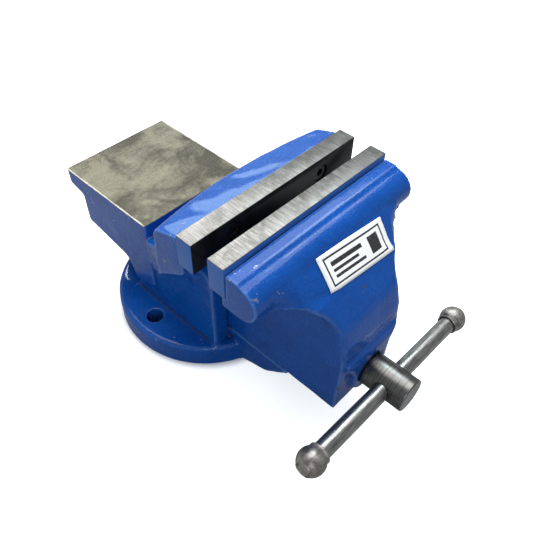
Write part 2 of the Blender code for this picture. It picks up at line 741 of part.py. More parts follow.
def split_pin(finish):
    """The cotter pin: a round shank with a ball-shaped eye on top."""
    shank = PIN_DIAMETER / 2
    eye = PIN_EYE_DIAMETER / 2
    start = math.degrees(math.asin(shank / eye))
    height = SPINDLE_DIAMETER + 2 * PIN_STAND
    ball = [
        (eye * math.cos(math.radians(a)), height + eye * math.sin(math.radians(a)))
        for a in [90 - (180 - start) * step / 8 for step in range(1, 9)]
    ]
    points = [(0, height + eye)] + ball + [(shank, 0.0006), (shank - 0.0006, 0), (0, 0)]
    pin = part("split_pin", profile_mesh("split_pin", points), finish)
    turn(pin, 16)
    pin.location = (0, PIN_Y, SPINDLE_Z - SPINDLE_DIAMETER / 2 - PIN_STAND)
    smooth(pin)
    return pin


def tommy_bar(finish):
    bar = part("tommy_bar", rod("tommy_bar", BAR_DIAMETER / 2, BAR_LENGTH + 0.0040, 32), finish)
    bar.matrix_world = bar_frame() @ Matrix.Translation((0, 0, BAR_SHIFT - BAR_LENGTH / 2 - 0.0020))
    smooth(bar)
    return bar


def knob(name, outward, finish):
    """A truncated ball with a short collar towards the bar, bored for the bar's end."""
    radius = KNOB_DIAMETER / 2
    half = KNOB_LENGTH / 2
    collar = BAR_DIAMETER / 2 + 0.0016
    flat_end = math.degrees(math.acos((half - 0.0014) / radius))
    at_collar = 180 - math.degrees(math.asin(collar / radius))
    ball = [
        (radius * math.sin(math.radians(a)), radius * math.cos(math.radians(a)))
        for a in [flat_end + (at_collar - flat_end) * step / 10 for step in range(11)]
    ]
    points = [(0, half), (ball[0][0] - 0.0010, half)] + ball
    points += [(collar, -half), (0, -half)]
    piece = part(name, profile_mesh(name, points), finish)
    turn(piece, 32)
    turned_round = Matrix.Rotation(0 if outward > 0 else math.pi, 4, "X")
    centre = Matrix.Translation((0, 0, BAR_SHIFT + outward * BAR_LENGTH / 2))
    piece.matrix_world = bar_frame() @ centre @ turned_round
    bore = helper(f"{name}_bore", rod(f"{name}_bore", BAR_DIAMETER / 2 + SEAT_GAP, KNOB_LENGTH, 32))
    bore.matrix_world = piece.matrix_world @ Matrix.Translation((0, 0, 0.0020 + SEAT_GAP - KNOB_LENGTH))
    combine(piece, bore, "DIFFERENCE")
    smooth(piece)
    return piece


# Nut and its bolt


def spindle_nut(finish):
    """A block with a round top, standing on the channel floor."""
    outer = SHAFT_BORE + NUT_WALL
    foot = CHANNEL_FLOOR + SEAT_GAP
    outline = [(outer + 0.0020, foot), (outer + 0.0020, foot + 0.0120), (outer, foot + 0.0140)]
    outline += arc((0, SPINDLE_Z), outer, 0, 180, 14)
    outline += [(-outer, foot + 0.0140), (-outer - 0.0020, foot + 0.0120), (-outer - 0.0020, foot)]
    nut = part(
        "spindle_nut", prism("spindle_nut", outline, "Y", NUT_FRONT_Y, NUT_FRONT_Y + NUT_LENGTH), finish)
    bore = helper("nut_bore", rod("nut_bore", SHAFT_BORE, NUT_LENGTH + 0.0200))
    bore.location = (0, NUT_FRONT_Y + NUT_LENGTH + 0.0100, SPINDLE_Z)
    bore.rotation_euler = (math.radians(90), 0, 0)
    combine(nut, bore, "DIFFERENCE")
    tapped = helper("nut_tapped_hole", rod("nut_tapped_hole", NUT_BOLT_DIAMETER / 2 + SEAT_GAP, 0.0400, 32))
    tapped.location = (0, NUT_CENTRE_Y, nut_bolt_top() + SEAT_GAP - 0.0400)
    combine(nut, tapped, "DIFFERENCE")
    smooth(nut)
    return nut


def nut_bolt_top():
    return SPINDLE_Z - SHAFT_BORE - 0.0030


def nut_bolt(finish):
    head_top = nut_bolt_seat() - WASHER_THICKNESS - 2 * SEAT_GAP
    bolt = part("nut_bolt", rod("nut_bolt", NUT_BOLT_ACROSS_FLATS / math.sqrt(3), NUT_BOLT_HEAD, 6), finish)
    bolt.location = (0, NUT_CENTRE_Y, head_top - NUT_BOLT_HEAD)
    shank_length = nut_bolt_top() - head_top + 0.0020
    shank = helper("nut_bolt_shank", rod("nut_bolt_shank", NUT_BOLT_DIAMETER / 2, shank_length, 32))
    shank.location = (0, NUT_CENTRE_Y, head_top - 0.0020)
    combine(bolt, shank, "UNION")
    smooth(bolt)
    return bolt


def build():
    blue = (0.010, 0.075, 0.420)
    iron = material("body_enamel", blue, 0.30, 0.0)
    jaw_iron = material("jaw_enamel", blue, 0.30, 0.0)
    plate_steel = material("plate_steel", (0.72, 0.71, 0.68), 0.35, 1.0)
    front_plate_steel = material("front_plate_steel", (0.72, 0.71, 0.68), 0.35, 1.0)
    bright = material("spindle_steel", (0.33, 0.32, 0.31), 0.25, 1.0)
    bar_steel = material("bar_steel", (0.36, 0.35, 0.34), 0.25, 1.0)
    paper = material("label_paper", (0.85, 0.85, 0.85), 0.40, 0.0)
    fixed_body(iron)
    jaw = moving_jaw(jaw_iron)
    jaw_plate("rear_jaw_plate", "rear", REAR_FACE_Y, 1, plate_steel)
    jaw_plate("front_jaw_plate", "front", FRONT_FACE_Y, -1, front_plate_steel)
    for side, side_sign in (("left", -1), ("right", 1)):
        for jaw_name, face_y, inward in (("rear", REAR_FACE_Y, 1), ("front", FRONT_FACE_Y, -1)):
            dark = material(f"{jaw_name}_screw_{side}", (0.05, 0.05, 0.05), 0.45, 1.0)
            plate_screw(f"{jaw_name}_plate_screw_{side}", side_sign, face_y, inward, dark)
    label(jaw, paper)
    spindle(bright)
    inner = SPINDLE_DIAMETER / 2 + TURNING_GAP
    thrust = washer("thrust_washer", inner, SPINDLE_HEAD_DIAMETER / 2, WASHER_THICKNESS,
                    material("thrust_washer_steel", (0.30, 0.30, 0.30), 0.35, 1.0))
    on_spindle(thrust, WASHER_FRONT_Y + WASHER_THICKNESS)
    spring(material("spring_steel", (0.20, 0.20, 0.20), 0.35, 1.0))
    spring_ring = washer("spring_washer", inner, SPINDLE_DIAMETER / 2 + 0.0050, WASHER_THICKNESS,
                         material("spring_washer_steel", (0.40, 0.40, 0.40), 0.35, 1.0))
    on_spindle(spring_ring, SPRING_WASHER_Y + WASHER_THICKNESS)
    split_pin(material("pin_steel", (0.45, 0.45, 0.45), 0.35, 1.0))
    tommy_bar(bar_steel)
    knob("handle_knob_left", -1, material("left_knob_steel", (0.22, 0.20, 0.19), 0.35, 1.0))
    knob("handle_knob_right", 1, material("right_knob_steel", (0.22, 0.20, 0.19), 0.35, 1.0))
    spindle_nut(material("nut_iron", (0.16, 0.16, 0.16), 0.60, 1.0))
    nut_bolt(material("bolt_steel", (0.30, 0.30, 0.28), 0.40, 1.0))
    bolt_ring = washer("nut_bolt_washer", NUT_BOLT_DIAMETER / 2 + SEAT_GAP, washer_radius(), WASHER_THICKNESS,
                       material("bolt_washer_steel", (0.50, 0.50, 0.48), 0.35, 1.0))
    bolt_ring.location = (0, NUT_CENTRE_Y, nut_bolt_seat() - SEAT_GAP - WASHER_THICKNESS)


clear_scene()
PARTS = new_collection("bench_vise")
CUTTERS = new_collection("bench_vise_cutters")
build()
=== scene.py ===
"""The finished look of a fixed-base bench vise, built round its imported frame.

Metres, +Z up, +Y away from the operator, +X to the operator's right.
"""

import json
import math

import bmesh
import bpy
from mathutils import Matrix, Vector, noise


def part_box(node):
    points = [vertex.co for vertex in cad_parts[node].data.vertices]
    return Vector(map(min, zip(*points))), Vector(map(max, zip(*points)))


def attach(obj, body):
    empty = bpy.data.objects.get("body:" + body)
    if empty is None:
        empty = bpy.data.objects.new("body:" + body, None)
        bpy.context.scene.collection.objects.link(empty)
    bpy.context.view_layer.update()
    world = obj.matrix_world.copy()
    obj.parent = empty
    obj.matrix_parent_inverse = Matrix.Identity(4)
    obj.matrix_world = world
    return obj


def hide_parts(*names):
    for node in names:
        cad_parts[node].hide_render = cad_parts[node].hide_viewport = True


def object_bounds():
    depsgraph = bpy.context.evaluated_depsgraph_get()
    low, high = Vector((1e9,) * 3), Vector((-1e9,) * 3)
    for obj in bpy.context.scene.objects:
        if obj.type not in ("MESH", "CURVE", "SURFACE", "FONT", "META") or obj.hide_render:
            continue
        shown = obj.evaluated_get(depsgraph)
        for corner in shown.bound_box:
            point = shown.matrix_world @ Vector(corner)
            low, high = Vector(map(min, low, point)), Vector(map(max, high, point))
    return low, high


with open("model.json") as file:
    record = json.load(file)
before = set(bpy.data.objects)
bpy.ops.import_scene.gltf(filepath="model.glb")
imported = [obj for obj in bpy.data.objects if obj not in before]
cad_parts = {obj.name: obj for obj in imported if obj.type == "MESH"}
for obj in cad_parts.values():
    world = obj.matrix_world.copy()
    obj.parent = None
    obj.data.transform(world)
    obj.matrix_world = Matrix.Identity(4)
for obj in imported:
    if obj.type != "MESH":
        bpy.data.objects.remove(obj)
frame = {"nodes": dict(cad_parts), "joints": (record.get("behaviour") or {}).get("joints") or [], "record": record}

CAD_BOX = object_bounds()

# Cast pieces
CAST_CELL = 0.0012
CAST_SMOOTHING = 2
BLADE_ANGLE = math.radians(62)
BLADE_SMOOTHING = 10
UNEVENNESS = 0.00022
UNEVEN_LENGTH = 0.0150
MACHINING_STOCK = 0.0024
MACHINING_DEPTH = 0.0100
ANVIL_EDGE_Y = 0.0060
BARE_FROM_Y = 0.0070
SHARP_ANGLE = math.radians(38)

# Machined pieces
EDGE_BREAK = 0.00035
FINE_EDGE_BREAK = 0.0003
NUT_EDGE_BREAK = 0.0005
EDGE_ANGLE = math.radians(35)
FLAT_ANGLE = math.radians(0.8)
MACHINED_ANGLE = math.radians(30)

# Turned pieces
ROUND_STEPS = 96
BAR_STEPS = 72
KNOB_ROUND_STEPS = 24
CORNER_STEPS = 4
SEAT_GAP = 0.0003
HEAD_ROUND = 0.0009
HEAD_FACE_EDGE = 0.0012
SHOULDER_ROUND = 0.0005
TAIL_CHAMFER = 0.0020
TAIL_CHAMFER_DEPTH = 0.0015
PIN_HOLE_RADIUS = 0.0019
PIN_HOLE_LENGTH = 0.0400
BAR_HOLE_LENGTH = 0.0600
HOLE_RIM = 0.00045
RIM_ANGLE = math.radians(50)
BAR_CHAMFER = 0.0006
COLLAR_WALL = 0.0016
RIVET_RADIUS = 0.0043
SHAFT_SHARE = 0.8

# The spindle's thread
THREAD_PITCH = 0.0050
THREAD_DEPTH = 0.0016
THREAD_STEPS = 36
THREAD_ROOT = 0.36 * THREAD_PITCH
THREAD_CREST = 0.20 * THREAD_PITCH
THREAD_SUNK = 0.0004
THREAD_TOP_GAP = 0.0001
THREAD_ENDS = 0.0070
THREAD_ANGLE = math.radians(32)

# The sticker: its width, its height as seen from the front, its lean, and how far it is pressed in
LABEL_WIDTH = 0.0600
LABEL_HEIGHT = 0.0180
LABEL_TILT = math.radians(3.4)
LABEL_SETTLE = 0.0002
SHEET_ANGLE = math.radians(60)

# The left, right, low and high sides of what is printed on it, as shares of the sticker
FRAME_OUTSIDE = (-0.435, 0.435, -0.385, 0.385)
FRAME_INSIDE = (-0.415, 0.415, -0.335, 0.335)
STICKER_BARS = (
    (-0.36, 0.10, 0.10, 0.22),
    (-0.36, 0.02, -0.06, 0.02),
    (-0.36, 0.10, -0.22, -0.14),
    (0.20, 0.36, -0.24, 0.24),
)

# The camera
CAMERA_AT = Vector((-0.220589, -0.271467, 0.400375))
CAMERA_TURN = math.radians(-48.39)
CAMERA_DIP = math.radians(47.15)
CAMERA_ROLL = math.radians(1.99)
CAMERA_LENS = 39.2446
SENSOR_WIDTH = 36.0

# The surroundings' light
WORLD_COLOUR = (0.90, 0.95, 1.0, 1)
WORLD_STRENGTH = 0.50

# The lamps: name, place, aim, width, height, power and colour
WHITE = (1, 1, 1)
COOL = (0.70, 0.93, 1.00)
SOFTBOXES = (
    ("overhead_softbox", (0.40, 0.30, 1.50), (0, 0, 0.05), 1.5, 1.5, 33, WHITE),
    ("rear_softbox", (0.66, 1.00, 0.50), (0, 0, 0.10), 0.5, 0.16, 1.6, COOL),
    ("high_rear_softbox", (0.40, 0.90, 0.96), (-0.05, 0, 0.14), 0.22, 0.22, 4.0, WHITE),
    ("right_softbox", (0.62, 0.12, 1.02), (0, 0, 0.12), 0.3, 0.3, 3.0, COOL),
    ("left_softbox", (-0.75, -0.80, 0.60), (0, -0.15, 0.06), 0.4, 0.3, 2.6, WHITE),
)

# Colours: a pair holds a finish's darker and lighter tone
ENAMEL_BLUE = (0.0008, 0.0540, 0.2750, 1)
ENAMEL_BRIGHT = (0.0012, 0.0710, 0.3450, 1)
# A painted highlight: the lighter blue laid on the enamel's convex edges.
ENAMEL_EDGE_HIGHLIGHT = (0.0600, 0.1500, 0.4200, 1)
# Painted shade: the darker blue laid in the enamel's hollows and creases.
ENAMEL_HOLLOW_SHADE = (0.0008, 0.0120, 0.0750, 1)
GROUND_LIGHT = (0.1450, 0.1330, 0.0970, 1)
GROUND_DARK = (0.0420, 0.0386, 0.0290, 1)
GROUND_LINES = (0.1050, 0.1000, 0.0800, 1)
# A painted highlight: the bright tone laid along the anvil face's side edges.
GROUND_EDGE_HIGHLIGHT = (0.4200, 0.3950, 0.3200, 1)
MILLED_STEEL = ((0.090, 0.087, 0.081, 1), (0.215, 0.211, 0.202, 1))
MILLED_STAIN = (0.065, 0.063, 0.057, 1)
BLACKED_FACE = ((0.004, 0.004, 0.005, 1), (0.014, 0.016, 0.019, 1))
POLISHED_STEEL = ((0.070, 0.068, 0.065, 1), (0.170, 0.167, 0.161, 1))
DRAWN_STEEL = ((0.150, 0.146, 0.139, 1), (0.340, 0.334, 0.322, 1))
BLACK_STEEL = ((0.012, 0.012, 0.013, 1), (0.050, 0.050, 0.052, 1))
KNOB_STEEL = ((0.115, 0.106, 0.097, 1), (0.330, 0.312, 0.292, 1))
BARE_IRON = ((0.070, 0.066, 0.062, 1), (0.200, 0.190, 0.180, 1))
PAPER = ((0.80, 0.80, 0.79, 1), (0.90, 0.90, 0.90, 1))
INK = (0.018, 0.018, 0.020, 1)
FLOOR_SEEN = (0.93, 0.93, 0.93, 1)
FLOOR_REFLECTED = (0.36, 0.36, 0.36, 1)
FLOOR_GLOW = (0.95, 0.98, 1.0, 1)
FLOOR_GLOW_STRENGTH = 0.66

# Places and sizes taken from the frame
MOUNTS = {mount["name"]: mount for mount in frame["record"]["mounts"]}
JOINTS = {joint["name"]: joint for joint in frame["joints"]}
ANVIL_TOP = MOUNTS["anvil_face"]["pos_m"][2]
BASE_RADIUS = -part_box("fixed_body")[0].x
PLATE_LOW, PLATE_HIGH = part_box("rear_jaw_plate")
PLATE_TOP = PLATE_HIGH.z
PLATE_HALF = PLATE_HIGH.x
SPINDLE_LOW, SPINDLE_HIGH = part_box("spindle")
SPINDLE_AT = Vector(JOINTS["spindle_turn"]["pos_m"])
BAR_ALONG = Vector(JOINTS["handle_slide"]["axis"])
FORWARD = Vector((0, -1, 0))
SHOULDER_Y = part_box("thrust_washer")[0].y - SEAT_GAP
PIN_LOW, PIN_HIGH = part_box("split_pin")
PIN_Y = (PIN_LOW.y + PIN_HIGH.y) / 2
THREAD_START_Y = PIN_HIGH.y + 0.0060
LABEL_LOW, LABEL_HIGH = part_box("label")


def node_points(node):
    return [vert.co for vert in frame["nodes"][node].data.vertices]


def along(node, origin, direction):
    """How far a node reaches along a direction, as its lowest and highest distance from a point."""
    distances = [(point - origin).dot(direction) for point in node_points(node)]
    return min(distances), max(distances)


def width_across(node, origin, direction):
    """The largest distance of a node's points from a line."""
    line = Vector(direction).normalized()
    offsets = [point - origin for point in node_points(node)]
    return max((offset - line * offset.dot(line)).length for offset in offsets)


def half_width_at(node, height):
    """Half the width of a node's flat face at a height."""
    return max(abs(point.x) for point in node_points(node) if abs(point.z - height) < 0.00002)


ANVIL_HALF = half_width_at("fixed_body", ANVIL_TOP)
BAR_RADIUS = width_across("tommy_bar", SPINDLE_AT, BAR_ALONG)
HEAD_RADIUS = width_across("spindle", SPINDLE_AT, FORWARD)
SHAFT_RADIUS = HEAD_RADIUS * SHAFT_SHARE


# Shader building


class Shader:
    """A node tree with short calls for adding and joining its nodes."""

    def __init__(self, tree):
        self.tree = tree

    def add(self, kind, **settings):
        node = self.tree.nodes.new(kind)
        for name, value in settings.items():
            setattr(node, name, value)
        return node

    def join(self, source, target):
        self.tree.links.new(source, target)

    def give(self, socket, value):
        if isinstance(value, bpy.types.NodeSocket):
            self.join(value, socket)
        else:
            socket.default_value = value

    def math(self, operation, first, second=0.0):
        node = self.add("ShaderNodeMath", operation=operation)
        self.give(node.inputs[0], first)
        self.give(node.inputs[1], second)
        return node.outputs[0]

    def mix(self, share, first, second):
        node = self.add("ShaderNodeMix", data_type="RGBA")
        self.give(node.inputs[0], share)
        self.give(node.inputs[6], first)
        self.give(node.inputs[7], second)
        return node.outputs[2]

    def blend(self, share, first, second):
        node = self.add("ShaderNodeMix", data_type="FLOAT")
        self.give(node.inputs[0], share)
        self.give(node.inputs[2], first)
        self.give(node.inputs[3], second)
        return node.outputs[0]

    def remap(self, value, low, high, to_low=0.0, to_high=1.0):
        node = self.add("ShaderNodeMapRange", interpolation_type="SMOOTHSTEP")
        self.give(node.inputs[0], value)
        node.inputs[1].default_value = low
        node.inputs[2].default_value = high
        node.inputs[3].default_value = to_low
        node.inputs[4].default_value = to_high
        return node.outputs[0]

    def noise(self, where, scale, detail=3.0, roughness=0.55):
        node = self.add("ShaderNodeTexNoise")
        self.join(where, node.inputs["Vector"])
        node.inputs["Scale"].default_value = scale
        node.inputs["Detail"].default_value = detail
        node.inputs["Roughness"].default_value = roughness
        return node.outputs["Fac"]

    def place(self):
        return self.add("ShaderNodeTexCoord").outputs["Object"]

    def turned(self, where, turn):
        node = self.add("ShaderNodeMapping")
        self.join(where, node.inputs["Vector"])
        node.inputs["Rotation"].default_value = turn
        return node.outputs[0]

    def axes(self, where):
        node = self.add("ShaderNodeSeparateXYZ")
        self.join(where, node.inputs[0])
        return node.outputs

    def bump(self, height, strength, distance):
        node = self.add("ShaderNodeBump")
        node.inputs["Strength"].default_value = strength
        node.inputs["Distance"].default_value = distance
        self.give(node.inputs["Height"], height)
        return node.outputs[0]

    def use(self, group, **values):
        node = self.add("ShaderNodeGroup", node_tree=group)
        for name, value in values.items():
            self.give(node.inputs[name.replace("_", " ")], value)
        return node.outputs


def new_group(name, inputs, outputs):
    """A shader group with named sockets, and the nodes its sockets sit on."""
    tree = bpy.data.node_groups.new(name, "ShaderNodeTree")
    for socket, value in inputs.items():
        made = tree.interface.new_socket(socket, in_out="INPUT", socket_type="NodeSocketFloat")
        made.default_value = value
    for socket, kind in outputs.items():
        tree.interface.new_socket(socket, in_out="OUTPUT", socket_type=kind)
    shader = Shader(tree)
    return shader, shader.add("NodeGroupInput").outputs, shader.add("NodeGroupOutput").inputs


def new_finish(name, specular=0.5, coat_roughness=0.1):
    """A material with a bare Principled shader, whose constants are set on its own sockets."""
    finish = bpy.data.materials.new(name)
    finish.use_nodes = True
    finish.node_tree.nodes.clear()
    shader = Shader(finish.node_tree)
    surface = shader.add("ShaderNodeBsdfPrincipled")
    surface.inputs["Specular IOR Level"].default_value = specular
    surface.inputs["Coat Roughness"].default_value = coat_roughness
    output = shader.add("ShaderNodeOutputMaterial")
    shader.join(surface.outputs[0], output.inputs["Surface"])
    return finish, shader, surface.inputs


def mottle_group():
    """Broad and fine mottling: 0.5 on average, with soft patches and specks."""
    shader, given, out = new_group(
        "mottle", {"Patch scale": 60.0, "Speck scale": 900.0, "Speck share": 0.35},
        {"Value": "NodeSocketFloat"})
    where = shader.place()
    patches = shader.add("ShaderNodeTexNoise")
    shader.join(where, patches.inputs["Vector"])
    shader.join(given["Patch scale"], patches.inputs["Scale"])
    patches.inputs["Detail"].default_value = 5.0
    patches.inputs["Distortion"].default_value = 0.8
    specks = shader.add("ShaderNodeTexNoise")
    shader.join(where, specks.inputs["Vector"])
    shader.join(given["Speck scale"], specks.inputs["Scale"])
    specks.inputs["Detail"].default_value = 2.0
    value = shader.blend(given["Speck share"], patches.outputs["Fac"], specks.outputs["Fac"])
    shader.join(value, out["Value"])
    return shader.tree


def streak_group():
    """Fine tool marks, packed closest together along the axis with the largest scale."""
    shader, given, out = new_group(
        "tool_marks", {"Scale X": 3000.0, "Scale Y": 60.0, "Scale Z": 60.0},
        {"Value": "NodeSocketFloat"})
    scales = shader.add("ShaderNodeCombineXYZ")
    for index, name in enumerate(("Scale X", "Scale Y", "Scale Z")):
        shader.join(given[name], scales.inputs[index])
    product = shader.add("ShaderNodeVectorMath", operation="MULTIPLY")
    shader.join(shader.place(), product.inputs[0])
    shader.join(scales.outputs[0], product.inputs[1])
    marks = shader.noise(product.outputs[0], 1.0, 3.0, 0.6)
    shader.join(marks, out["Value"])
    return shader.tree


def relief_group():
    """Casting waves and the orange peel of thick enamel, as a height."""
    shader, given, out = new_group(
        "enamel_relief", {"Peel": 0.55, "Waves": 1.0}, {"Height": "NodeSocketFloat"})
    where = shader.place()
    waves = shader.math("MULTIPLY", shader.noise(where, 130.0, 2.0), given["Waves"])
    peel = shader.math("MULTIPLY", shader.noise(where, 620.0, 2.0, 0.6), given["Peel"])
    shader.join(shader.math("ADD", waves, peel), out["Height"])
    return shader.tree


def edge_group():
    """Masks of the raised edges and of the hollows, from the shape itself."""
    shader, given, out = new_group(
        "edges_and_hollows", {"Break up": 0.05},
        {"Edge": "NodeSocketFloat", "Hollow": "NodeSocketFloat"})
    shape = shader.add("ShaderNodeNewGeometry").outputs["Pointiness"]
    scatter = shader.math("SUBTRACT", shader.noise(shader.place(), 420.0, 4.0), 0.5)
    shape = shader.math("ADD", shape, shader.math("MULTIPLY", scatter, given["Break up"]))
    shader.join(shader.remap(shape, 0.508, 0.548), out["Edge"])
    shader.join(shader.remap(shape, 0.490, 0.455), out["Hollow"])
    return shader.tree


MOTTLE = mottle_group()
TOOL_MARKS = streak_group()
RELIEF = relief_group()
EDGES = edge_group()


def enamel_colour(shader):
    """The blue of the enamel, with painted shade in the hollows and a painted highlight along the convex edges."""
    mottle = shader.use(MOTTLE, Patch_scale=34.0, Speck_scale=700.0, Speck_share=0.4)["Value"]
    shape = shader.use(EDGES, Break_up=0.02)
    colour = shader.mix(shader.remap(mottle, 0.35, 0.68), ENAMEL_BLUE, ENAMEL_BRIGHT)
    # Painted highlight: lighter blue on the convex edges, where they would catch the light.
    colour = shader.mix(shader.math("MULTIPLY", shape["Edge"], 0.85), colour, ENAMEL_EDGE_HIGHLIGHT)
    # Painted shade: darker blue in the hollows and creases, where shade falls.
    return shader.mix(shader.math("MULTIPLY", shape["Hollow"], 0.90), colour, ENAMEL_HOLLOW_SHADE)


def ground_colour(shader):
    """Bare ground iron: warm grey with dark handling smudges, and a painted highlight along the anvil face's side
    edges.
    """
    smudges = shader.use(MOTTLE, Patch_scale=26.0, Speck_scale=260.0, Speck_share=0.16)["Value"]
    colour = shader.mix(shader.remap(smudges, 0.40, 0.60), GROUND_DARK, GROUND_LIGHT)
    lines = shader.use(TOOL_MARKS, Scale_X=36.0, Scale_Y=1500.0, Scale_Z=36.0)["Value"]
    colour = shader.mix(shader.remap(lines, 0.30, 0.75, 0.0, 0.35), colour, GROUND_LINES)
    # Painted highlight: a bright strip along the anvil face's left and right edges, where they would catch the
    # light.
    side = shader.math("ABSOLUTE", shader.axes(shader.place())[0])
    uneven = shader.math("MULTIPLY", shader.noise(shader.place(), 190.0, 3.0), 0.0016)
    rim = shader.remap(shader.math("ADD", side, uneven), ANVIL_HALF - 0.0006, ANVIL_HALF + 0.0002)
    return shader.mix(shader.math("MULTIPLY", rim, 0.85), colour, GROUND_EDGE_HIGHLIGHT)


def enamel(name, bare=None):
    """Thick glossy enamel on a casting. bare(shader) is the share of bare ground metal."""
    finish, shader, surface = new_finish(name, 0.08, 0.06)
    mottle = shader.use(MOTTLE, Patch_scale=70.0, Speck_scale=1300.0, Speck_share=0.5)["Value"]
    colour = enamel_colour(shader)
    roughness = shader.remap(mottle, 0.3, 0.7, 0.20, 0.34)
    height = shader.use(RELIEF, Peel=0.80, Waves=0.85)["Height"]
    relief = shader.bump(height, 0.60, 0.0009)
    chips = shader.use(EDGES, Break_up=0.30)["Edge"]
    spots = shader.remap(shader.noise(shader.place(), 95.0, 4.0, 0.65), 0.635, 0.675)
    metal = shader.math("MULTIPLY", chips, spots)
    if bare is not None:
        metal = shader.math("MAXIMUM", metal, bare(shader))
    shader.join(shader.mix(metal, colour, ground_colour(shader)), surface["Base Color"])
    lines = shader.use(TOOL_MARKS, Scale_X=40.0, Scale_Y=1700.0, Scale_Z=40.0)["Value"]
    ground_roughness = shader.remap(lines, 0.2, 0.8, 0.38, 0.55)
    shader.join(shader.blend(metal, roughness, ground_roughness), surface["Roughness"])
    shader.join(shader.math("MULTIPLY", metal, 0.85), surface["Metallic"])
    shader.join(shader.blend(metal, 0.34, 0.0), surface["Coat Weight"])
    shader.join(relief, surface["Normal"])
    return finish


def anvil_bare(shader):
    """1 on the ground anvil face, with an uneven paint line."""
    height = shader.axes(shader.place())[2]
    uneven = shader.math("MULTIPLY", shader.noise(shader.place(), 260.0, 3.0), 0.0004)
    level = shader.math("ADD", height, uneven)
    ground = shader.remap(level, ANVIL_TOP - 0.0005, ANVIL_TOP - 0.0001)
    behind = shader.remap(shader.axes(shader.place())[1], BARE_FROM_Y, BARE_FROM_Y + 0.0005)
    return shader.math("MULTIPLY", ground, behind)


def plate_finish(name, face_y, back_y):
    """A jaw plate: milled bright top, blackened working face, and painted ends and back."""
    finish, shader, surface = new_finish(name, 0.09)
    where = shader.axes(shader.place())
    top = shader.remap(where[2], PLATE_TOP - 0.00045, PLATE_TOP - 0.00015)
    side = shader.math("ABSOLUTE", where[0])
    end = shader.remap(side, PLATE_HALF - 0.0004, PLATE_HALF - 0.0001)
    towards_back = 1 if back_y > face_y else -1
    depth = shader.math("MULTIPLY", shader.math("SUBTRACT", where[1], back_y), towards_back)
    end = shader.math("MAXIMUM", end, shader.remap(depth, -0.0006, -0.0002))
    marks = shader.use(TOOL_MARKS, Scale_X=1500.0, Scale_Y=70.0, Scale_Z=60.0)["Value"]
    patches = shader.use(MOTTLE, Patch_scale=75.0, Speck_scale=1200.0, Speck_share=0.3)["Value"]
    bright = shader.mix(shader.remap(marks, 0.30, 0.70), *MILLED_STEEL)
    bright = shader.mix(shader.remap(patches, 0.38, 0.52, 0.60, 0.0), bright, MILLED_STAIN)
    black = shader.mix(shader.remap(patches, 0.35, 0.70), *BLACKED_FACE)
    colour = shader.mix(top, black, bright)
    painted = shader.math("MULTIPLY", end, shader.math("SUBTRACT", 1.0, top))
    shader.join(shader.mix(painted, colour, enamel_colour(shader)), surface["Base Color"])
    metal = shader.math("MULTIPLY", shader.blend(top, 0.10, 0.95), shader.math("SUBTRACT", 1.0, painted))
    shader.join(metal, surface["Metallic"])
    shader.join(shader.blend(top, 0.42, shader.remap(marks, 0.2, 0.8, 0.30, 0.48)), surface["Roughness"])
    shader.join(shader.math("MULTIPLY", painted, 0.15), surface["Coat Weight"])
    shader.join(shader.bump(marks, 0.25, 0.00012), surface["Normal"])
    return finish


def turned_steel(name, colours, rough_low, rough_high, marks_scale, metal=1.0):
    """Turned or drawn steel with fine marks and a slight stain."""
    finish, shader, surface = new_finish(name)
    scale_x, scale_y, scale_z = marks_scale
    marks = shader.use(TOOL_MARKS, Scale_X=scale_x, Scale_Y=scale_y, Scale_Z=scale_z)["Value"]
    stain = shader.use(MOTTLE, Patch_scale=85.0, Speck_scale=1600.0, Speck_share=0.3)["Value"]
    colour = shader.mix(shader.remap(marks, 0.30, 0.72), *colours)
    colour = shader.mix(shader.remap(stain, 0.33, 0.50, 0.55, 0.0), colour, colours[0])
    shader.join(colour, surface["Base Color"])
    surface["Metallic"].default_value = metal
    shader.join(shader.remap(stain, 0.30, 0.70, rough_low, rough_high), surface["Roughness"])
    shader.join(shader.bump(marks, 0.12, 0.00005), surface["Normal"])
    return finish


def knob_finish():
    """Dull brown-grey steel with soft bright patches."""
    finish, shader, surface = new_finish("knob_steel")
    stain = shader.use(MOTTLE, Patch_scale=150.0, Speck_scale=1900.0, Speck_share=0.45)["Value"]
    colour = shader.mix(shader.remap(stain, 0.35, 0.65), *KNOB_STEEL)
    shader.join(colour, surface["Base Color"])
    surface["Metallic"].default_value = 0.85
    shader.join(shader.remap(stain, 0.3, 0.7, 0.34, 0.50), surface["Roughness"])
    shader.join(shader.bump(stain, 0.35, 0.00020), surface["Normal"])
    return finish


def bare_iron():
    """Unpainted cast iron of the spindle nut."""
    finish, shader, surface = new_finish("bare_iron")
    grain = shader.use(MOTTLE, Patch_scale=140.0, Speck_scale=1500.0, Speck_share=0.5)["Value"]
    colour = shader.mix(shader.remap(grain, 0.3, 0.7), *BARE_IRON)
    shader.join(colour, surface["Base Color"])
    surface["Metallic"].default_value = 0.7
    shader.join(shader.remap(grain, 0.3, 0.7, 0.48, 0.68), surface["Roughness"])
    shader.join(shader.bump(grain, 0.5, 0.00030), surface["Normal"])
    return finish


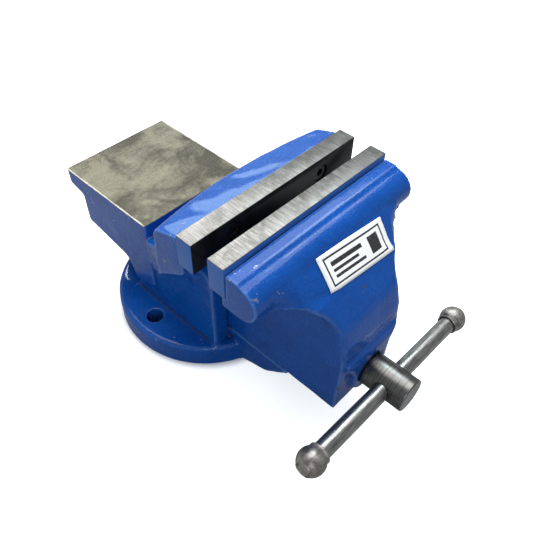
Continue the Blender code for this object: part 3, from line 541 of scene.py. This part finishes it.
def sticker_finish():
    """White sticker printed with a thin dark frame and plain bars."""
    finish, shader, surface = new_finish("sticker")
    sheet_axes = shader.axes(shader.turned(shader.place(), (0, -LABEL_TILT, 0)))
    centre = Matrix.Rotation(-LABEL_TILT, 3, "Y") @ ((LABEL_LOW + LABEL_HIGH) / 2)
    across = shader.math("DIVIDE", shader.math("SUBTRACT", sheet_axes[0], centre.x), LABEL_WIDTH)
    upward = shader.math("DIVIDE", shader.math("SUBTRACT", sheet_axes[2], centre.z), LABEL_HEIGHT)

    def between(value, low, high):
        above = shader.math("GREATER_THAN", value, low)
        return shader.math("MULTIPLY", above, shader.math("LESS_THAN", value, high))

    def block(left, right, low, high):
        return shader.math("MULTIPLY", between(across, left, right), between(upward, low, high))

    ink = shader.math("SUBTRACT", block(*FRAME_OUTSIDE), block(*FRAME_INSIDE))
    for sides in STICKER_BARS:
        ink = shader.math("MAXIMUM", ink, block(*sides))
    wear = shader.remap(shader.noise(shader.place(), 900.0, 3.0), 0.30, 0.45, 0.92, 1.0)
    paper = shader.mix(shader.noise(shader.place(), 220.0, 3.0), *PAPER)
    colour = shader.mix(shader.math("MULTIPLY", ink, wear), paper, INK)
    shader.join(colour, surface["Base Color"])
    roughness = shader.remap(shader.noise(shader.place(), 160.0, 2.0), 0.3, 0.7, 0.28, 0.40)
    shader.join(roughness, surface["Roughness"])
    shader.join(shader.bump(shader.noise(shader.place(), 700.0, 2.0), 0.12, 0.0001), surface["Normal"])
    return finish


# Mesh building


def link(name, mesh, finish):
    thing = bpy.data.objects.new(name, mesh)
    bpy.context.scene.collection.objects.link(thing)
    mesh.materials.clear()
    mesh.materials.append(finish)
    return thing


def settle(thing, body, slot, *nodes):
    """Puts a finished piece on its CAD body, in place of its CAD nodes."""
    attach(thing, body)
    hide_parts(*nodes)
    return thing


def mesh_from(bm, name):
    mesh = bpy.data.meshes.new(name)
    bm.to_mesh(mesh)
    bm.free()
    return mesh


def node_bmesh(node):
    """A merged, editable copy of a CAD node's mesh."""
    bm = bmesh.new()
    bm.from_mesh(frame["nodes"][node].data)
    bmesh.ops.remove_doubles(bm, verts=bm.verts[:], dist=0.00001)
    bmesh.ops.dissolve_degenerate(bm, edges=bm.edges[:], dist=0.000005)
    return bm


def shade(mesh, angle=SHARP_ANGLE):
    """Smooth shading that stays crisp over sharp corners."""
    mesh.polygons.foreach_set("use_smooth", [True] * len(mesh.polygons))
    mesh.set_sharp_from_angle(angle=angle)


def evaluated_mesh(thing):
    graph = bpy.context.evaluated_depsgraph_get()
    return bpy.data.meshes.new_from_object(thing.evaluated_get(graph))


def remeshed(mesh, cell):
    """An even skin of small faces over a closed mesh."""
    thing = bpy.data.objects.new("cast_skin", mesh)
    bpy.context.scene.collection.objects.link(thing)
    skin = thing.modifiers.new("Skin", "REMESH")
    skin.mode = "VOXEL"
    skin.voxel_size = cell
    skin.use_smooth_shade = True
    result = evaluated_mesh(thing)
    bpy.data.objects.remove(thing)
    return result


def smooth(bm, verts, rounds):
    for _ in range(rounds):
        bmesh.ops.smooth_vert(
            bm, verts=verts, factor=0.5, use_axis_x=True, use_axis_y=True, use_axis_z=True)


def soften_blades(bm):
    """Rounds off the few edges that are still knife sharp, together with the faces next to them."""
    keen = set()
    for edge in bm.edges:
        if edge.is_manifold and edge.calc_face_angle() > BLADE_ANGLE:
            keen.update(edge.verts)
    for _ in range(2):
        for vert in list(keen):
            keen.update(edge.other_vert(vert) for edge in vert.link_edges)
    smooth(bm, list(keen), BLADE_SMOOTHING)


def rounded_casting(mesh):
    """Softens a casting's corners and gives its skin the slight unevenness of sand casting."""
    bm = bmesh.new()
    bm.from_mesh(remeshed(mesh, CAST_CELL))
    smooth(bm, bm.verts[:], CAST_SMOOTHING)
    soften_blades(bm)
    bm.normal_update()
    for vert in bm.verts:
        lift = noise.noise(vert.co / UNEVEN_LENGTH) * UNEVENNESS
        vert.co += vert.normal * (lift - UNEVENNESS * 0.5)
    return bm


def close_cut(bm, cut, upward):
    """Fills the opening that a level cut leaves; upward is 1 for a top face and -1 for a foot."""
    edges = [piece for piece in cut["geom_cut"] if isinstance(piece, bmesh.types.BMEdge)]
    rim = [edge for edge in edges if edge.is_boundary]
    bmesh.ops.triangle_fill(bm, edges=rim, use_beauty=True, normal=(0, 0, upward))


def machined_flat(bm, height, inside):
    """Cuts a flat face at a height, through the part of the casting that inside() accepts."""
    low = height - MACHINING_DEPTH
    centres = [(face, face.calc_center_median()) for face in bm.faces]
    faces = [face for face, centre in centres if inside(centre) and centre.z > low]
    geometry = set(faces)
    for face in faces:
        geometry.update(face.edges)
        geometry.update(face.verts)
    cut = bmesh.ops.bisect_plane(
        bm, geom=list(geometry), dist=0.000001, plane_co=(0, 0, height), plane_no=(0, 0, 1),
        clear_outer=True)
    close_cut(bm, cut, 1)


def machined_under(bm, height):
    """Cuts the underside flat."""
    cut = bmesh.ops.bisect_plane(
        bm, geom=bm.verts[:] + bm.edges[:] + bm.faces[:], dist=0.000001,
        plane_co=(0, 0, height), plane_no=(0, 0, 1), clear_inner=True)
    close_cut(bm, cut, -1)


def raise_where(bm, level, lift, inside):
    """Adds machining stock to the flat parts that lie at a level."""
    for vert in bm.verts:
        if abs(vert.co.z - level) < 0.00005 and inside(vert.co):
            vert.co.z += lift


def behind_saddle(place):
    return place.y > ANVIL_EDGE_Y


def fixed_body(finish):
    """The base, column, rear head and anvil, with its ground anvil face and foot."""
    bm = node_bmesh("fixed_body")
    raise_where(bm, ANVIL_TOP, MACHINING_STOCK, behind_saddle)
    raise_where(bm, 0.0, -MACHINING_STOCK, lambda place: True)
    rough = mesh_from(bm, "fixed_body_rough")
    bm = rounded_casting(rough)
    machined_flat(bm, ANVIL_TOP, behind_saddle)
    machined_under(bm, 0.0)
    mesh = mesh_from(bm, "fixed_body_casting")
    shade(mesh)
    return settle(link("fixed_body_casting", mesh, finish), "base", "enamel", "fixed_body")


def moving_jaw(finish):
    """The sliding jaw, left as cast and enamelled all over."""
    bm = node_bmesh("moving_jaw")
    rough = mesh_from(bm, "moving_jaw_rough")
    bm = rounded_casting(rough)
    mesh = mesh_from(bm, "moving_jaw_casting")
    shade(mesh)
    return settle(link("moving_jaw_casting", mesh, finish), "jaw", "enamel", "moving_jaw")


def edged(node, name, finish, body, slot, width=EDGE_BREAK):
    """A machined piece: the CAD shape with its sharp edges broken."""
    bm = node_bmesh(node)
    bmesh.ops.dissolve_limit(
        bm, angle_limit=FLAT_ANGLE, use_dissolve_boundaries=False, verts=bm.verts[:],
        edges=bm.edges[:])
    sharp = [edge for edge in bm.edges if edge.is_manifold and edge.calc_face_angle() > EDGE_ANGLE]
    bmesh.ops.bevel(
        bm, geom=sharp, offset=width, offset_type="OFFSET", segments=2, profile=0.5, affect="EDGES",
        clamp_overlap=True, material=-1, loop_slide=True)
    bmesh.ops.triangulate(bm, faces=[face for face in bm.faces if len(face.verts) > 4])
    mesh = mesh_from(bm, name)
    shade(mesh, MACHINED_ANGLE)
    return settle(link(name, mesh, finish), body, slot, node)


def turned(points, steps=ROUND_STEPS):
    """A closed solid turned about local Z from (radius, height) points, first and last on the axis."""
    bm = bmesh.new()
    verts = [bm.verts.new((radius, 0, height)) for radius, height in points]
    edges = [bm.edges.new(pair) for pair in zip(verts, verts[1:])]
    bmesh.ops.spin(
        bm, geom=verts + edges, cent=(0, 0, 0), axis=(0, 0, 1), angle=math.tau, steps=steps,
        use_merge=True, use_duplicate=False)
    bmesh.ops.remove_doubles(bm, verts=bm.verts[:], dist=0.000002)
    bmesh.ops.recalc_face_normals(bm, faces=bm.faces[:])
    return bm


def corner(radius, height, size, turn):
    """Points of a small rounded corner of a turned profile; turn is the quarter it starts in."""
    points = []
    for step in range(CORNER_STEPS + 1):
        angle = math.radians(turn - 90 * step / CORNER_STEPS)
        points.append((radius + size * math.cos(angle), height + size * math.sin(angle)))
    return points


def facing(direction):
    """The turn that takes local Z to a direction."""
    return Vector((0, 0, 1)).rotation_difference(Vector(direction)).to_matrix().to_4x4()


def thread_ridge(length, core, crest):
    """A helical ridge of trapezoid section, capped at both ends."""
    bm = bmesh.new()
    root = core - THREAD_SUNK
    section = [(root, -THREAD_ROOT), (crest, -THREAD_CREST), (crest, THREAD_CREST), (root, THREAD_ROOT)]
    verts = [bm.verts.new((radius, 0, height)) for radius, height in section]
    bm.faces.new(verts)
    steps = int(length / THREAD_PITCH * THREAD_STEPS)
    bmesh.ops.spin(
        bm, geom=bm.verts[:] + bm.edges[:] + bm.faces[:], cent=(0, 0, 0), axis=(0, 0, 1),
        dvec=(0, 0, THREAD_PITCH / THREAD_STEPS), angle=math.tau * steps / THREAD_STEPS, steps=steps,
        use_merge=False, use_duplicate=False)
    bmesh.ops.recalc_face_normals(bm, faces=bm.faces[:])
    return bm


def cut_away(thing, cutters):
    """Cuts closed meshes out of a piece and returns the resulting mesh."""
    helpers = []
    for cutter in cutters:
        tool = bpy.data.objects.new("cutter", cutter)
        bpy.context.scene.collection.objects.link(tool)
        boolean = thing.modifiers.new("Hole", "BOOLEAN")
        boolean.operation = "DIFFERENCE"
        boolean.solver = "EXACT"
        boolean.object = tool
        helpers.append(tool)
    bpy.context.view_layer.update()
    result = evaluated_mesh(thing)
    for tool in helpers:
        bpy.data.objects.remove(tool)
    bpy.data.objects.remove(thing)
    return result


def bored(bm, name, cutters):
    """A turned piece with holes cut through it, and the holes' rims broken by a small bevel."""
    thing = bpy.data.objects.new(name, mesh_from(bm, name))
    bpy.context.scene.collection.objects.link(thing)
    mesh = cut_away(thing, cutters)
    bm = bmesh.new()
    bm.from_mesh(mesh)
    bmesh.ops.remove_doubles(bm, verts=bm.verts[:], dist=0.000004)
    sharp = [edge for edge in bm.edges if edge.is_manifold and edge.calc_face_angle() > RIM_ANGLE]
    bmesh.ops.bevel(
        bm, geom=sharp, offset=HOLE_RIM, offset_type="OFFSET", segments=2, profile=0.5,
        affect="EDGES", clamp_overlap=True, material=-1)
    bpy.data.meshes.remove(mesh)
    return bm


def rod_cutter(radius, length, place):
    bm = bmesh.new()
    bmesh.ops.create_cone(
        bm, cap_ends=True, cap_tris=False, segments=ROUND_STEPS, radius1=radius, radius2=radius,
        depth=length)
    bm.transform(place)
    return mesh_from(bm, "rod_cutter")


def spindle_profile(head_length, thread_at, tail):
    """The spindle's (radius, height) points, from the head's face down to its tail."""
    core = SHAFT_RADIUS - THREAD_DEPTH
    points = [(0, head_length), (HEAD_RADIUS - HEAD_FACE_EDGE, head_length)]
    points += corner(HEAD_RADIUS - HEAD_ROUND, head_length - HEAD_ROUND, HEAD_ROUND, 90)
    points += [(HEAD_RADIUS, head_length * 0.5)]
    points += corner(HEAD_RADIUS - SHOULDER_ROUND, SHOULDER_ROUND, SHOULDER_ROUND, 0)
    points += [(SHAFT_RADIUS, 0), (SHAFT_RADIUS, thread_at + THREAD_DEPTH), (core, thread_at)]
    return points + [(core, tail + TAIL_CHAMFER), (core - TAIL_CHAMFER_DEPTH, tail), (0, tail)]


def spindle(finish):
    """The screw: a turned head bored for the bar, a plain shaft and a helical thread."""
    head_length = SHOULDER_Y - SPINDLE_LOW.y
    tail = SHOULDER_Y - SPINDLE_HIGH.y
    thread_at = SHOULDER_Y - THREAD_START_Y
    place = Matrix.Translation((0, SHOULDER_Y, SPINDLE_AT.z)) @ facing(FORWARD)
    blank = turned(spindle_profile(head_length, thread_at, tail))
    blank.transform(place)
    bar_hole = rod_cutter(
        BAR_RADIUS + SEAT_GAP, BAR_HOLE_LENGTH, Matrix.Translation(SPINDLE_AT) @ facing(BAR_ALONG))
    pin_hole = rod_cutter(
        PIN_HOLE_RADIUS, PIN_HOLE_LENGTH, Matrix.Translation((0, PIN_Y, SPINDLE_AT.z)))
    bm = bored(blank, "spindle_blank", [bar_hole, pin_hole])
    ridge = thread_ridge(
        thread_at - tail - THREAD_ENDS, SHAFT_RADIUS - THREAD_DEPTH, SHAFT_RADIUS - THREAD_TOP_GAP)
    ridge.transform(place @ Matrix.Translation((0, 0, tail + THREAD_ENDS / 2)))
    bm.from_mesh(mesh_from(ridge, "thread_ridge"))
    mesh = mesh_from(bm, "spindle_turned")
    shade(mesh, THREAD_ANGLE)
    return settle(link("spindle_turned", mesh, finish), "screw", "polished_steel", "spindle")


def tommy_bar(finish):
    """The drawn bar, chamfered at its ends."""
    low, high = along("tommy_bar", SPINDLE_AT, BAR_ALONG)
    end_radius = BAR_RADIUS - BAR_CHAMFER
    points = [(0, high), (end_radius, high), (BAR_RADIUS, high - BAR_CHAMFER)]
    points += [(BAR_RADIUS, high * 0.5), (BAR_RADIUS, 0), (BAR_RADIUS, low * 0.5)]
    points += [(BAR_RADIUS, low + BAR_CHAMFER), (end_radius, low), (0, low)]
    bm = turned(points, BAR_STEPS)
    bm.transform(Matrix.Translation(SPINDLE_AT) @ facing(BAR_ALONG))
    mesh = mesh_from(bm, "tommy_bar_drawn")
    shade(mesh)
    return settle(link("tommy_bar_drawn", mesh, finish), "handle", "polished_steel", "tommy_bar")


def knob(node, outward, finish):
    """A ball knob with a flat riveted end, a collar and a blind bore for the bar."""
    low, high = along(node, SPINDLE_AT, BAR_ALONG * outward)
    length = high - low
    radius = width_across(node, SPINDLE_AT, BAR_ALONG)
    collar = BAR_RADIUS + COLLAR_WALL
    bore = BAR_RADIUS + SEAT_GAP
    bore_end = along("tommy_bar", SPINDLE_AT, BAR_ALONG * outward)[1] + SEAT_GAP
    middle = low + length / 2
    start = math.acos((length / 2 - 0.0010) / radius)
    end = math.pi - math.asin((collar - 0.0005) / radius)
    flat = radius * math.sin(start) - 0.0008
    points = [(0, high), (RIVET_RADIUS - 0.0006, high), (RIVET_RADIUS, high - 0.0005)]
    points += [(RIVET_RADIUS + 0.0004, high - 0.0009), (RIVET_RADIUS + 0.0010, high - 0.0001)]
    points += [(flat, high - 0.0001), (flat + 0.0004, high - 0.0003)]
    for step in range(KNOB_ROUND_STEPS + 1):
        angle = start + (end - start) * step / KNOB_ROUND_STEPS
        points.append((radius * math.sin(angle), middle + radius * math.cos(angle)))
    neck = points[-1][1]
    points += [(collar - 0.0003, neck - 0.0004), (collar, neck - 0.0009), (collar, low + 0.0005)]
    points += [(collar - 0.0005, low), (bore + 0.0003, low), (bore, low + 0.0003)]
    points += [(bore, bore_end), (0, bore_end)]
    bm = turned(points, BAR_STEPS)
    bm.transform(Matrix.Translation(SPINDLE_AT) @ facing(BAR_ALONG * outward))
    mesh = mesh_from(bm, f"{node}_turned")
    shade(mesh)
    return settle(link(f"{node}_turned", mesh, finish), "handle", "knob_steel", node)


def label(finish):
    """The sticker: the CAD sheet, pressed a little closer to the jaw."""
    bm = node_bmesh("label")
    bmesh.ops.translate(bm, vec=(0, LABEL_SETTLE, 0), verts=bm.verts[:])
    mesh = mesh_from(bm, "sticker")
    shade(mesh, SHEET_ANGLE)
    return settle(link("sticker", mesh, finish), "jaw", "label", "label")


def dress(node, finish):
    """Gives a CAD node that keeps its shape its finish."""
    thing = frame["nodes"][node]
    thing.data.materials.clear()
    thing.data.materials.append(finish)


# The stage


def set_camera():
    forward = Vector((
        -math.sin(CAMERA_TURN) * math.cos(CAMERA_DIP),
        math.cos(CAMERA_TURN) * math.cos(CAMERA_DIP),
        -math.sin(CAMERA_DIP),
    ))
    right = forward.cross(Vector((0, 0, 1))).normalized()
    up = right.cross(forward)
    rolled_right = right * math.cos(CAMERA_ROLL) + up * math.sin(CAMERA_ROLL)
    rolled_up = up * math.cos(CAMERA_ROLL) - right * math.sin(CAMERA_ROLL)
    camera = bpy.data.objects.new("camera", bpy.data.cameras.new("camera"))
    bpy.context.scene.collection.objects.link(camera)
    turn = Matrix((rolled_right, rolled_up, -forward)).transposed()
    camera.matrix_world = Matrix.Translation(CAMERA_AT) @ turn.to_4x4()
    camera.data.lens = CAMERA_LENS
    camera.data.sensor_fit = "HORIZONTAL"
    camera.data.sensor_width = SENSOR_WIDTH
    camera.data.clip_start = 0.01
    bpy.context.scene.camera = camera


def set_floor():
    """A pale floor that glows a little, though not through the bolt holes or in reflections."""
    bm = bmesh.new()
    bmesh.ops.create_grid(bm, x_segments=8, y_segments=8, size=2.5)
    floor = bpy.data.objects.new("floor", mesh_from(bm, "floor"))
    bpy.context.scene.collection.objects.link(floor)
    floor.location.z = CAD_BOX[0][2] - 0.0002
    finish, shader, surface = new_finish("pale_floor", 0.2)
    seen = shader.add("ShaderNodeLightPath").outputs["Is Camera Ray"]
    shader.join(shader.mix(seen, FLOOR_REFLECTED, FLOOR_SEEN), surface["Base Color"])
    surface["Roughness"].default_value = 0.8
    surface["Emission Color"].default_value = FLOOR_GLOW
    centre_distance = shader.add("ShaderNodeVectorMath", operation="LENGTH")
    shader.join(shader.place(), centre_distance.inputs[0])
    away = centre_distance.outputs["Value"]
    glow = shader.remap(away, BASE_RADIUS * 0.98, BASE_RADIUS * 1.10, 0.0, FLOOR_GLOW_STRENGTH)
    shader.join(shader.math("MULTIPLY", glow, seen), surface["Emission Strength"])
    floor.data.materials.append(finish)


def softbox(name, place, aim, width, height, power, colour):
    lamp = bpy.data.lights.new(name, "AREA")
    lamp.shape = "RECTANGLE"
    lamp.size = width
    lamp.size_y = height
    lamp.energy = power
    lamp.color = colour
    thing = bpy.data.objects.new(name, lamp)
    bpy.context.scene.collection.objects.link(thing)
    thing.location = place
    thing.rotation_euler = (Vector(aim) - Vector(place)).to_track_quat("-Z", "Y").to_euler()


def set_lights():
    world = bpy.data.worlds.new("studio")
    world.use_nodes = True
    world.node_tree.nodes["Background"].inputs[0].default_value = WORLD_COLOUR
    world.node_tree.nodes["Background"].inputs[1].default_value = WORLD_STRENGTH
    bpy.context.scene.world = world
    bpy.context.scene.view_settings.view_transform = "Standard"
    for settings in SOFTBOXES:
        softbox(*settings)


def build():
    castings = enamel("cast_enamel", anvil_bare)
    jaw_enamel = enamel("jaw_enamel")
    front_low, front_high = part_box("front_jaw_plate")
    rear_plate = plate_finish("rear_plate_steel", PLATE_LOW.y, PLATE_HIGH.y)
    front_plate = plate_finish("front_plate_steel", front_high.y, front_low.y)
    bright = turned_steel("polished_steel", POLISHED_STEEL, 0.26, 0.38, (70.0, 2600.0, 70.0))
    drawn = turned_steel("drawn_bar_steel", DRAWN_STEEL, 0.28, 0.40, (50.0, 1100.0, 1100.0))
    black = turned_steel("black_steel", BLACK_STEEL, 0.32, 0.50, (900.0, 900.0, 900.0), 0.8)
    knobs = knob_finish()
    iron = bare_iron()
    fixed_body(castings)
    moving_jaw(jaw_enamel)
    edged("rear_jaw_plate", "rear_jaw_plate_milled", rear_plate, "base", "jaw_steel")
    edged("front_jaw_plate", "front_jaw_plate_milled", front_plate, "jaw", "jaw_steel")
    for side in ("left", "right"):
        for jaw, body in (("rear", "base"), ("front", "jaw")):
            node = f"{jaw}_plate_screw_{side}"
            edged(node, f"{jaw}_cap_screw_{side}", black, body, "black_steel", FINE_EDGE_BREAK)
    spindle(bright)
    tommy_bar(drawn)
    knob("handle_knob_left", -1, knobs)
    knob("handle_knob_right", 1, knobs)
    edged("spindle_nut", "spindle_nut_cast", iron, "base", "bare_iron", NUT_EDGE_BREAK)
    edged("nut_bolt", "nut_bolt_forged", bright, "base", "polished_steel", FINE_EDGE_BREAK)
    for node in ("thrust_washer", "spring_washer", "split_pin", "nut_bolt_washer"):
        dress(node, bright)
    dress("spindle_spring", black)
    label(sticker_finish())


set_camera()
set_floor()
set_lights()
build()
